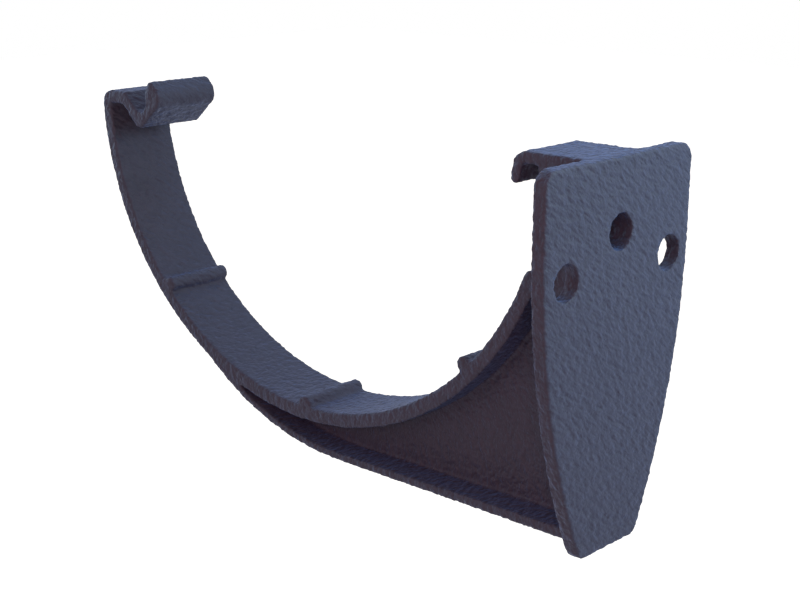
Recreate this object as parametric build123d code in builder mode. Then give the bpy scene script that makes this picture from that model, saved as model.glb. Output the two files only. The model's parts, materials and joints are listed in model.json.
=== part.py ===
from build123d import *
from math import atan2, degrees, hypot, radians, sqrt
import os

# Fascia bracket for a half-round gutter, moulded in one piece, in millimetres.
# Frame: X along the gutter, +Y out of the fascia face towards the wall, +Z up.
# The origin is on the fascia face, midway between the two outer screw holes.

# gutter that the bracket carries
gutter_radius = 56.0  # outside radius of the gutter
gutter_back = 11.75  # from the fascia face to the back of the gutter
gutter_axis_z = 19.7  # gutter axis above the outer screw holes

# strap that cradles the gutter
strap_width = 15.4
strap_thickness = 2.85
strap_ledge = 1.95  # flat on the strap's rear end, in front of the block
strap_end_corner = 1.5

# ribs that the gutter rests on, across the strap
rib_height = 2.0
rib_radius = 1.6
rib_angles = (225.0, 270.0, 315.0)  # round the gutter axis, 270 is the lowest point
rib_foot_round = 0.5

# snap hook on the front end of the strap, measured back from the strap's
# inside and up or down from the hook's flat top
hook_drop = 1.3  # flat top below the gutter axis
hook_top_corner = 3.0
hook_wall = 2.7
hook_slot = 4.1  # width of the slot between strap and tip
hook_slot_round = 0.5
hook_land = 5.1  # flat top, back to the groove's mouth
groove_width = 6.5
groove_round = 1.9
mouth_round = 1.0
tip_back = 9.4
tip_drop = 7.9
tip_round = 2.0
nose_depth = 5.9  # nose behind the groove's upright flank
nose_drop = 0.7
nose_round = 2.8
head_depth = 1.3  # head behind the groove's upright flank
head_height = 3.8
head_round = 1.2

# fascia plate
plate_width = 41.2
plate_thickness = 2.8
plate_top_drop = 1.05  # top of plate and clip below the gutter axis
plate_side = 12.85  # straight part of the sides, below it they curve in
plate_foot = 2.6  # plate below the lower flange
plate_foot_margin = 0.5  # plate's foot beyond each side of the flange
plate_top_corner = 3.0
plate_foot_corner = 2.5
plate_back_round = 0.5

# screw holes
hole_radius = 3.1
hole_spacing = 29.0
middle_hole_z = 6.0

# block that the middle screw passes through
block_foot = 4.4  # block below the strap's rear end

# clip over the rear rim of the gutter
clip_thickness = 2.2
clip_slot = 3.2  # gap between block and lip, under the clip's top
clip_corner = 3.0
lip_thickness = 1.9
lip_lean = 0.8  # how far the lip leans forward over its height
lip_height = 5.7  # from the clip's top to the lip's foot
lip_round = 0.7

# web and lower flange under the strap
web_thickness = 3.0
flange_drop = 6.15  # lower edge below the strap's lowest point
flange_front_thickness = 1.5
flange_rear_thickness = 2.05
web_arc_back = 9.4  # the lower edge is straight from here on, behind the gutter axis
pocket_tip_round = 0.25
pocket_corner_round = 2.0

web_start_round = 8.0  # softens the corner where the lower edge leaves the strap

edge_break = 0.25  # along both sides of strap, hook, clip and web, and the plate's front
inner_round = 0.6
seam_round = 0.8  # where strap, web and block meet the plate

block_front = -gutter_back
gutter_axis_y = block_front - gutter_radius
strap_inner = gutter_radius + rib_height
strap_outer = strap_inner + strap_thickness
strap_end_z = gutter_axis_z - sqrt(strap_inner**2 - (gutter_radius - strap_ledge) ** 2)
flange_bottom = gutter_axis_z - strap_outer - flange_drop
web_arc_y = gutter_axis_y + web_arc_back
web_arc_radius = strap_outer  # the lower edge's arc repeats the strap's outside
web_arc_center_z = flange_bottom + web_arc_radius
plate_top = gutter_axis_z - plate_top_drop
plate_shoulder = plate_top - plate_side
plate_bottom = flange_bottom - plate_foot
plate_foot_width = strap_width + 2 * plate_foot_margin
beam_rear = -plate_thickness / 2  # strap, web and block end inside the plate
block_bottom = strap_end_z - block_foot
seam_end = -plate_thickness - seam_round
clip_underside = plate_top - clip_thickness
lip_bottom = plate_top - lip_height
beyond = 3 * strap_outer  # reaches past the whole side view


def from_axis(forward, height):
    """Point of the side view, in front of and above the gutter axis."""
    return (gutter_axis_y - forward, gutter_axis_z + height)


def nearest_corner(sketch, point):
    return sketch.vertices().sort_by_distance(point)[0]


def distance(vertex, point):
    return hypot(vertex.X - point[0], vertex.Y - point[1])


def is_rib_foot(vertex):
    """A corner on the inside of the strap, beside one of the ribs."""
    turn = degrees(atan2(vertex.Y - gutter_axis_z, vertex.X - gutter_axis_y)) % 360
    beside = any(radians(abs(turn - angle)) * strap_inner < rib_radius for angle in rib_angles)
    return beside and abs(distance(vertex, from_axis(0, 0)) - strap_inner) < rib_height / 4


def off_both_arcs(vertex):
    """Least where the lower edge's arc leaves the strap's outer arc."""
    off_strap = abs(distance(vertex, from_axis(0, 0)) - strap_outer)
    return off_strap + abs(distance(vertex, (web_arc_y, web_arc_center_z)) - web_arc_radius)


# hook outline: each corner with its rounding
hook_top = -hook_drop
hook_slot_roof = hook_top - hook_wall
groove_mouth = strap_inner - hook_land
groove_flank = groove_mouth - groove_width
hook_corners = [
    (strap_inner + strap_thickness / 2, hook_top, 0),
    (groove_mouth, hook_top, mouth_round),
    (groove_flank, hook_top - groove_width, groove_round),
    (groove_flank, hook_top, 0),
    (groove_flank - head_depth, hook_top + head_height, head_round),
    (groove_flank - nose_depth, hook_top - nose_drop, nose_round),
    (strap_inner - tip_back, hook_top - tip_drop, tip_round),
    (strap_inner - hook_slot, hook_slot_roof, hook_slot_round),
    (strap_inner + strap_thickness / 2, hook_slot_roof, 0),
]

# side view of everything that stands in front of the plate, pockets still filled
with BuildSketch(Plane.YZ) as side_view:
    with Locations(from_axis(0, 0)):
        Circle(strap_outer)
    with Locations((web_arc_y, web_arc_center_z)):
        Circle(web_arc_radius)
    with Locations((web_arc_y, flange_bottom)):
        Rectangle(beam_rear - web_arc_y, strap_end_z - flange_bottom, align=(Align.MIN, Align.MIN))
    with Locations(from_axis(0, 0)):
        Circle(strap_inner, mode=Mode.SUBTRACT)
    # the cradle is open above the hook and above the strap's rear end
    with Locations(from_axis(0, hook_top)):
        Rectangle(beyond, beyond, align=(Align.MAX, Align.MIN), mode=Mode.SUBTRACT)
    with Locations((gutter_axis_y, strap_end_z)):
        Rectangle(beyond, beyond, align=(Align.MIN, Align.MIN), mode=Mode.SUBTRACT)
    # nothing reaches past the middle of the plate
    with Locations((beam_rear, 0)):
        Rectangle(beyond, beyond, align=(Align.MIN, Align.CENTER), mode=Mode.SUBTRACT)
    # block, from the plate to the back of the gutter
    with Locations((block_front, block_bottom)):
        Rectangle(beam_rear - block_front, plate_top - block_bottom, align=(Align.MIN, Align.MIN))
    fillet(nearest_corner(side_view, (block_front - strap_ledge, strap_end_z)), strap_end_corner)
    # hook
    with BuildLine():
        FilletPolyline(
            [from_axis(forward, height) for forward, height, _ in hook_corners],
            radius=[rounding for _, _, rounding in hook_corners],
            close=True,
        )
    make_face()
    fillet(nearest_corner(side_view, from_axis(strap_outer, hook_top)), hook_top_corner)
    fillet(nearest_corner(side_view, from_axis(strap_inner, hook_slot_roof)), hook_slot_round)
    # clip
    lip_rear = block_front - clip_slot
    with BuildLine():
        Polyline(
            (beam_rear, plate_top),
            (lip_rear - lip_thickness, plate_top),
            (lip_rear - lip_thickness - lip_lean, lip_bottom),
            (lip_rear - lip_lean, lip_bottom),
            (lip_rear, clip_underside),
            (beam_rear, clip_underside),
            close=True,
        )
    make_face()
    fillet(nearest_corner(side_view, (lip_rear - lip_thickness, plate_top)), clip_corner)
    for foot_y in (lip_rear - lip_thickness - lip_lean, lip_rear - lip_lean):
        fillet(nearest_corner(side_view, (foot_y, lip_bottom)), lip_round)
    for inner_y in (lip_rear, block_front):
        fillet(nearest_corner(side_view, (inner_y, clip_underside)), inner_round)
    # ribs
    with Locations(from_axis(0, 0)):
        for angle in rib_angles:
            with PolarLocations(gutter_radius + rib_radius, 1, start_angle=angle):
                Circle(rib_radius)
    rib_feet = [v for v in side_view.vertices() if is_rib_foot(v)]
    fillet(rib_feet, rib_foot_round)
    fillet(nearest_corner(side_view, (block_front, strap_end_z)), inner_round)
    fillet(side_view.vertices().sort_by(off_both_arcs)[0], web_start_round)

# pocket beside the web, between the strap and the lower flange
with BuildSketch(Plane.YZ.offset(web_thickness / 2)) as pocket:
    with Locations((web_arc_y, web_arc_center_z)):
        Circle(web_arc_radius - flange_front_thickness)
    with BuildLine():
        Polyline(
            (web_arc_y, flange_bottom + flange_front_thickness),
            (0, flange_bottom + flange_rear_thickness),
            (0, web_arc_center_z),
            (web_arc_y, web_arc_center_z),
            close=True,
        )
    make_face()
    with Locations(from_axis(0, 0)):
        Circle(strap_outer, mode=Mode.SUBTRACT)
    with Locations((-beyond / 2, block_bottom)):
        Rectangle(beyond, beyond, align=(Align.MIN, Align.MIN), mode=Mode.SUBTRACT)
    fillet(pocket.vertices().sort_by(Axis.X)[0], pocket_tip_round)
    fillet(nearest_corner(pocket, (block_front, block_bottom)), pocket_corner_round)

# outline of the fascia plate
with BuildSketch(Plane.XZ) as plate_outline:
    with BuildLine():
        top = Polyline(
            (-plate_width / 2, plate_shoulder),
            (-plate_width / 2, plate_top),
            (plate_width / 2, plate_top),
            (plate_width / 2, plate_shoulder),
        )
        left = TangentArc(top @ 0, (-plate_foot_width / 2, plate_bottom), tangent=(0, -1))
        right = TangentArc(top @ 1, (plate_foot_width / 2, plate_bottom), tangent=(0, -1))
        Line(left @ 1, right @ 1)
    make_face()
    fillet(plate_outline.vertices().group_by(Axis.Y)[-1], plate_top_corner)
    fillet(plate_outline.vertices().group_by(Axis.Y)[0], plate_foot_corner)

with BuildPart() as plate:
    extrude(plate_outline.sketch, amount=plate_thickness)
    fillet(plate.edges().group_by(Axis.Y)[-1], plate_back_round)

with BuildSketch(Plane.XZ) as screw_holes:
    with GridLocations(hole_spacing, 0, 2, 1):
        Circle(hole_radius)
    with Locations((0, middle_hole_z)):
        Circle(hole_radius)

pocket_rim = pocket.sketch.face().outer_wire()


def on_pocket_rim(edge):
    """Whether the middle of this edge lies beside the pocket's outline."""
    middle = edge.center()
    return pocket_rim.distance_to((web_thickness / 2, middle.Y, middle.Z)) < edge_break / 2


with BuildPart() as gutter_bracket:
    # one half of the strap, web and block, then its mirror image
    extrude(side_view.sketch, amount=strap_width / 2)
    extrude(pocket.sketch, amount=strap_width, mode=Mode.SUBTRACT)
    mirror(about=Plane.YZ)
    add(plate.part)
    fillet(gutter_bracket.edges(Select.NEW), seam_round)
    # the sides' outer edges run on into the plate's front edge, the pockets' rims stay sharp
    sides = gutter_bracket.faces().filter_by(Axis.X).group_by(Axis.X)
    outlines = [e for e in (sides[1] + sides[-2]).edges() if e.center().Y < seam_end - edge_break]
    chamfer([edge for edge in outlines if not on_pocket_rim(edge)], edge_break)
    extrude(screw_holes.sketch, amount=gutter_radius, mode=Mode.SUBTRACT)

gutter_bracket.part.label = "gutter_bracket"
os.makedirs("parts", exist_ok=True)
export_step(gutter_bracket.part, "parts/gutter_bracket.step")
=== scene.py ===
import json
import math

import bpy
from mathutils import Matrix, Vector

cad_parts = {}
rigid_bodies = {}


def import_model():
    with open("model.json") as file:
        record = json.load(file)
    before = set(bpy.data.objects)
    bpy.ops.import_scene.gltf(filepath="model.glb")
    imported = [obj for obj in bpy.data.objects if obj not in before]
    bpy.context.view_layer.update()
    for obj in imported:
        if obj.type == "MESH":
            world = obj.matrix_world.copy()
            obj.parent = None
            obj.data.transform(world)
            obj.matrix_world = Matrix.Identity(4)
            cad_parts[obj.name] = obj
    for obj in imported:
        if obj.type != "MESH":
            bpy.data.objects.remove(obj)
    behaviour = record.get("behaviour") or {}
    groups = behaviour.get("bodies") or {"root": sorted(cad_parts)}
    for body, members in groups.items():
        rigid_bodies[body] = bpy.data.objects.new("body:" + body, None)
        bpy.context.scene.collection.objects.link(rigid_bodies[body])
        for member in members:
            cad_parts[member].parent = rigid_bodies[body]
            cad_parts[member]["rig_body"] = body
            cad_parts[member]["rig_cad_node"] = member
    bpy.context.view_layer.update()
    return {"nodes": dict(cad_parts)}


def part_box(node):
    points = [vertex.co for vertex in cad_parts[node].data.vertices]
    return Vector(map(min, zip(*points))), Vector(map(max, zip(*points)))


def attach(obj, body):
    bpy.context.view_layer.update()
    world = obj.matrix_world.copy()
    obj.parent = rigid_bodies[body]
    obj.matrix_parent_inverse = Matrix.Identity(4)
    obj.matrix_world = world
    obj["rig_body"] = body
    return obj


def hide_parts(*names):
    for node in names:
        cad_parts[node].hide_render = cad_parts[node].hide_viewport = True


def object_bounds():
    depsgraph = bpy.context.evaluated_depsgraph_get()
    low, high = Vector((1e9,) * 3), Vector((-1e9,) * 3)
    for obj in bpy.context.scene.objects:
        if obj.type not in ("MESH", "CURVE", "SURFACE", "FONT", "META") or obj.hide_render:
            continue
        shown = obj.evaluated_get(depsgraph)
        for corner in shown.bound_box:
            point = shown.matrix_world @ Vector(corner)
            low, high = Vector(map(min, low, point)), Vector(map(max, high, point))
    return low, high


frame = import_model()
bpy.ops.object.select_all(action="DESELECT")
print("frame loaded")

# camera at the photo's viewing angle
camera = {
    "place": (0.20496, 0.13950, 0.06130),
    "turn": (74.7235, -0.2388, 132.6935),  # degrees
    "lens": 69.143,  # millimetres, as is the sensor
    "sensor": 36.0,
    "nearest": 0.01,
}

bpy.ops.object.camera_add(
    location=camera["place"],
    rotation=[math.radians(a) for a in camera["turn"]],
)
lookout = bpy.context.active_object
lookout.name = "lookout"
lookout.data.lens = camera["lens"]
lookout.data.sensor_width = camera["sensor"]
lookout.data.clip_start = camera["nearest"]
bpy.context.scene.camera = lookout
bpy.context.scene.view_settings.view_transform = "Standard"
print("camera set")

# the moulding: its edges are softened a little, then the cast grain is pressed in
body = {
    "weld": 0.000002,  # points closer than this become one
    "voxel": 0.00025,
    "softenTurns": 3,
    "softenFactor": 0.5,
    "triangles": 196000,
    "grainTilt": 57,  # degrees, the grain slants across the back of the plate
    "grains": {
        "streaks": {"size": 0.00070, "stretch": 2.2, "height": 0.00030},
        "dents": {"size": 0.0016, "stretch": 1.2, "height": 0.00012},
    },
    "grainDetail": 1,
    "sunk": 0.66,  # share of the grain's height that lies below the face
}


def alone(piece):
    bpy.ops.object.select_all(action="DESELECT")
    piece.select_set(True)
    bpy.context.view_layer.objects.active = piece


def applyModifier(piece, kind, **settings):
    alone(piece)
    modifier = piece.modifiers.new(kind.lower(), kind)
    for key, value in settings.items():
        setattr(modifier, key, value)
    bpy.ops.object.modifier_apply(modifier=modifier.name)


def pressGrain(piece, name, grain, tilt):
    # an empty gives the grain its slant and its cell size
    texture = bpy.data.textures.new(name, "CLOUDS")
    texture.noise_scale = 1.0
    texture.noise_depth = body["grainDetail"]
    bpy.ops.object.empty_add(location=(0, 0, 0), rotation=(0, math.radians(tilt), 0))
    space = bpy.context.active_object
    size = grain["size"]
    space.scale = (size, size, size * grain["stretch"])
    bpy.context.view_layer.update()
    applyModifier(
        piece, "DISPLACE", texture=texture, texture_coords="OBJECT",
        texture_coords_object=space, mid_level=body["sunk"], strength=grain["height"],
    )
    bpy.data.objects.remove(space)


bracket = frame["nodes"]["gutter_bracket"].copy()
bracket.data = bracket.data.copy()
bracket.name = "bracket_body"
bpy.context.scene.collection.objects.link(bracket)
bracket.parent = None
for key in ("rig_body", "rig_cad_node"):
    if key in bracket:
        del bracket[key]

alone(bracket)
bpy.ops.object.mode_set(mode="EDIT")
bpy.ops.mesh.select_all(action="SELECT")
bpy.ops.mesh.remove_doubles(threshold=body["weld"])
bpy.ops.object.mode_set(mode="OBJECT")

applyModifier(bracket, "REMESH", mode="VOXEL", voxel_size=body["voxel"], adaptivity=0.0)
applyModifier(bracket, "SMOOTH", factor=body["softenFactor"], iterations=body["softenTurns"])
print("edges softened", len(bracket.data.polygons))

for grainName, grain in body["grains"].items():
    pressGrain(bracket, grainName, grain, body["grainTilt"])
ratio = body["triangles"] / (2 * len(bracket.data.polygons))  # a square is two triangles
applyModifier(bracket, "DECIMATE", ratio=ratio, use_collapse_triangulate=True)

# no point lies outside the box of the CAD shape
lowest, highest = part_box("gutter_bracket")
for vertex in bracket.data.vertices:
    for axis in range(3):
        vertex.co[axis] = min(max(vertex.co[axis], lowest[axis]), highest[axis])
alone(bracket)
bpy.ops.object.shade_smooth()
bracket.data.materials.clear()
print("grain pressed in", len(bracket.data.polygons))

# dark slate plastic, grained in the mould
plastic = {
    "light": (0.0620, 0.0625, 0.0970, 1),
    "dark": (0.0480, 0.0485, 0.0760, 1),
    "roughness": (0.46, 0.64),
    "specular": 0.16,
    "sheen": 0.25,
    "sheenRoughness": 0.5,
    "sheenTint": (0.2, 0.4, 1.0, 1),
    "grainScale": (1000, 1000, 460),  # per metre, as are the two scales below
    "grainDetail": 1.4,
    "grainRoughness": 0.6,
    "speckScale": 3200,
    "speckDetail": 1.0,
    "speckShare": 0.12,
    "cloudScale": 140.0,
    "cloudDetail": 4.0,
    "contrast": (0.35, 0.65),  # this part of a noise is spread over dark to light
    # the grain's share of the colour is painted shade: the low spots of the grain are
    # coloured darker
    "paintedPitShadeShare": 0.7,  # of the colour, the clouds have the rest
    "bumpDepth": 0.00060,
    "bumpStrength": 1.0,
}


def addNode(tree, kind, place, values=None, **settings):
    node = tree.nodes.new(kind)
    node.location = place
    for key, value in settings.items():
        setattr(node, key, value)
    for socket, value in (values or {}).items():
        node.inputs[socket].default_value = value
    return node


def join(tree, source, output, target, socket):
    tree.links.new(source.outputs[output], target.inputs[socket])


slatePlastic = bpy.data.materials.new("slatePlastic")
slatePlastic.use_nodes = True
tree = slatePlastic.node_tree
shader = tree.nodes["Principled BSDF"]
shader.inputs["Specular IOR Level"].default_value = plastic["specular"]
shader.inputs["Sheen Weight"].default_value = plastic["sheen"]
shader.inputs["Sheen Roughness"].default_value = plastic["sheenRoughness"]
shader.inputs["Sheen Tint"].default_value = plastic["sheenTint"]

# the noises: slanting streaks and fine specks for the grain and for the painted shade in its
# low spots, wide clouds for the colour
where = addNode(tree, "ShaderNodeTexCoord", (-1400, 0))
turnGrain = addNode(tree, "ShaderNodeMapping", (-1200, -200), {
    "Rotation": (0, math.radians(body["grainTilt"]), 0),
    "Scale": [1 / s for s in plastic["grainScale"]],
}, vector_type="TEXTURE")
streaks = addNode(tree, "ShaderNodeTexNoise", (-1000, -200), {
    "Scale": 1.0, "Detail": plastic["grainDetail"], "Roughness": plastic["grainRoughness"],
})
specks = addNode(tree, "ShaderNodeTexNoise", (-1000, -500), {
    "Scale": plastic["speckScale"], "Detail": plastic["speckDetail"],
})
cloudy = addNode(tree, "ShaderNodeTexNoise", (-1000, 200), {
    "Scale": plastic["cloudScale"], "Detail": plastic["cloudDetail"],
})
join(tree, where, "Object", turnGrain, "Vector")
join(tree, turnGrain, "Vector", streaks, "Vector")
join(tree, where, "Object", specks, "Vector")
join(tree, where, "Object", cloudy, "Vector")

skin = addNode(tree, "ShaderNodeMix", (-800, -350), {
    "Factor": plastic["speckShare"],
}, data_type="FLOAT")
join(tree, streaks, "Fac", skin, "A")
join(tree, specks, "Fac", skin, "B")

# colour: wide clouds of tone, plus painted shade that darkens the low spots of the grain
spread = {"From Min": plastic["contrast"][0], "From Max": plastic["contrast"][1]}
patch = addNode(tree, "ShaderNodeMapRange", (-800, 200), spread)
# painted shade: the low spots of the grain's relief are coloured darker, as if shaded
paintedPitShade = addNode(tree, "ShaderNodeMapRange", (-800, 0), spread)
cloudsAndPitShade = addNode(tree, "ShaderNodeMix", (-600, 200), {
    "Factor": plastic["paintedPitShadeShare"],
}, data_type="FLOAT")
shade = addNode(tree, "ShaderNodeMix", (-400, 200), {
    "A": plastic["dark"], "B": plastic["light"],
}, data_type="RGBA")
join(tree, cloudy, "Fac", patch, "Value")
join(tree, skin, "Result", paintedPitShade, "Value")
join(tree, patch, "Result", cloudsAndPitShade, "A")
join(tree, paintedPitShade, "Result", cloudsAndPitShade, "B")
join(tree, cloudsAndPitShade, "Result", shade, "Factor")
join(tree, shade, "Result", shader, "Base Color")

# roughness and relief
rough = addNode(tree, "ShaderNodeMapRange", (-400, 0), {
    "To Min": plastic["roughness"][0], "To Max": plastic["roughness"][1],
})
bumps = addNode(tree, "ShaderNodeBump", (-400, -300), {
    "Strength": plastic["bumpStrength"], "Distance": plastic["bumpDepth"],
})
join(tree, skin, "Result", rough, "Value")
join(tree, rough, "Result", shader, "Roughness")
join(tree, skin, "Result", bumps, "Height")
join(tree, bumps, "Normal", shader, "Normal")

bracket.data.materials.append(slatePlastic)
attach(bracket, "root")
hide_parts("gutter_bracket")
print("plastic done")

# pale floor and soft studio light
room = {
    "floorBelow": 0.30,  # the bracket is fixed to a wall, well above the floor
    "floorSize": 6.0,
    "floorColour": (0.85, 0.85, 0.85, 1),
    "floorRoughness": 0.8,
    "ambient": 0.21,
    "ambientColour": (1.0, 0.82, 0.58, 1),
    "white": (1, 1, 1, 1),
}
middle = (0, -0.05, -0.01)  # of the bracket
lamps = {
    "upper": {"place": (-0.11, 0.11, 0.10), "aim": (0, 0, 0.015), "size": 0.06,
              "power": 0.168, "colour": (0.77, 0.93, 1.0)},
    "behind": {"place": (-0.045, 0.13, 0.06), "aim": (0, 0, 0.04), "size": 0.10,
               "power": 0.165, "colour": (0.52, 0.90, 1.0)},
    "near": {"place": (0.25, 0.172, 0.077), "aim": middle, "size": 0.08,
             "power": 0.245, "colour": (1.0, 0.36, 0.38)},
    "side": {"place": (0.35, -0.05, 0.10), "aim": middle, "size": 0.25,
             "power": 0.255, "colour": (1.0, 0.63, 0.67)},
    "front": {"place": (0.05, -0.45, 0.08), "aim": middle, "size": 0.25,
              "power": 0.61, "colour": (0.59, 0.83, 1.0)},
    "above": {"place": (-0.10, -0.07, 0.42), "aim": middle, "size": 0.30,
              "power": 0.65, "colour": (0.34, 0.71, 1.0)},
}


def seenByEye(tree):
    # 1 for rays from the camera, mirror and glass rays, 0 for the light itself
    ray = addNode(tree, "ShaderNodeLightPath", (-600, 300))
    first = addNode(tree, "ShaderNodeMath", (-400, 300), operation="MAXIMUM")
    second = addNode(tree, "ShaderNodeMath", (-200, 300), operation="MAXIMUM")
    join(tree, ray, "Is Camera Ray", first, 0)
    join(tree, ray, "Is Glossy Ray", first, 1)
    join(tree, first, "Value", second, 0)
    join(tree, ray, "Is Transmission Ray", second, 1)
    return second


# the floor takes light and shadow, and glows white to the eye
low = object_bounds()[0]
bpy.ops.mesh.primitive_plane_add(
    size=room["floorSize"], location=(0, 0, low[2] - room["floorBelow"])
)
floor = bpy.context.active_object
floor.name = "floor"
paleFloor = bpy.data.materials.new("paleFloor")
paleFloor.use_nodes = True
tree = paleFloor.node_tree
matte = tree.nodes["Principled BSDF"]
matte.inputs["Base Color"].default_value = room["floorColour"]
matte.inputs["Roughness"].default_value = room["floorRoughness"]
glow = addNode(tree, "ShaderNodeEmission", (0, -300))
both = addNode(tree, "ShaderNodeAddShader", (200, 0))
join(tree, seenByEye(tree), "Value", glow, "Strength")
join(tree, matte, "BSDF", both, 0)
join(tree, glow, "Emission", both, 1)
join(tree, both, "Shader", tree.nodes["Material Output"], "Surface")
floor.data.materials.append(paleFloor)

# the room is white to the eye and gives a soft light
world = bpy.data.worlds.new("paleRoom")
world.use_nodes = True
bpy.context.scene.world = world
tree = world.node_tree
soft = tree.nodes["Background"]
soft.inputs["Color"].default_value = room["ambientColour"]
soft.inputs["Strength"].default_value = room["ambient"]
white = addNode(tree, "ShaderNodeBackground", (0, -200), {"Color": room["white"]})
both = addNode(tree, "ShaderNodeMixShader", (200, 0))
join(tree, seenByEye(tree), "Value", both, "Fac")
join(tree, soft, "Background", both, 1)
join(tree, white, "Background", both, 2)
join(tree, both, "Shader", tree.nodes["World Output"], "Surface")

for name, lamp in lamps.items():
    bpy.ops.object.light_add(type="AREA", location=lamp["place"])
    light = bpy.context.active_object
    light.name = name + "Lamp"
    light.data.size = lamp["size"]
    light.data.energy = lamp["power"]
    light.data.color = lamp["colour"]
    aim = Vector(lamp["aim"]) - light.location
    light.rotation_euler = aim.to_track_quat("-Z", "Y").to_euler()
print("floor and lamps placed")
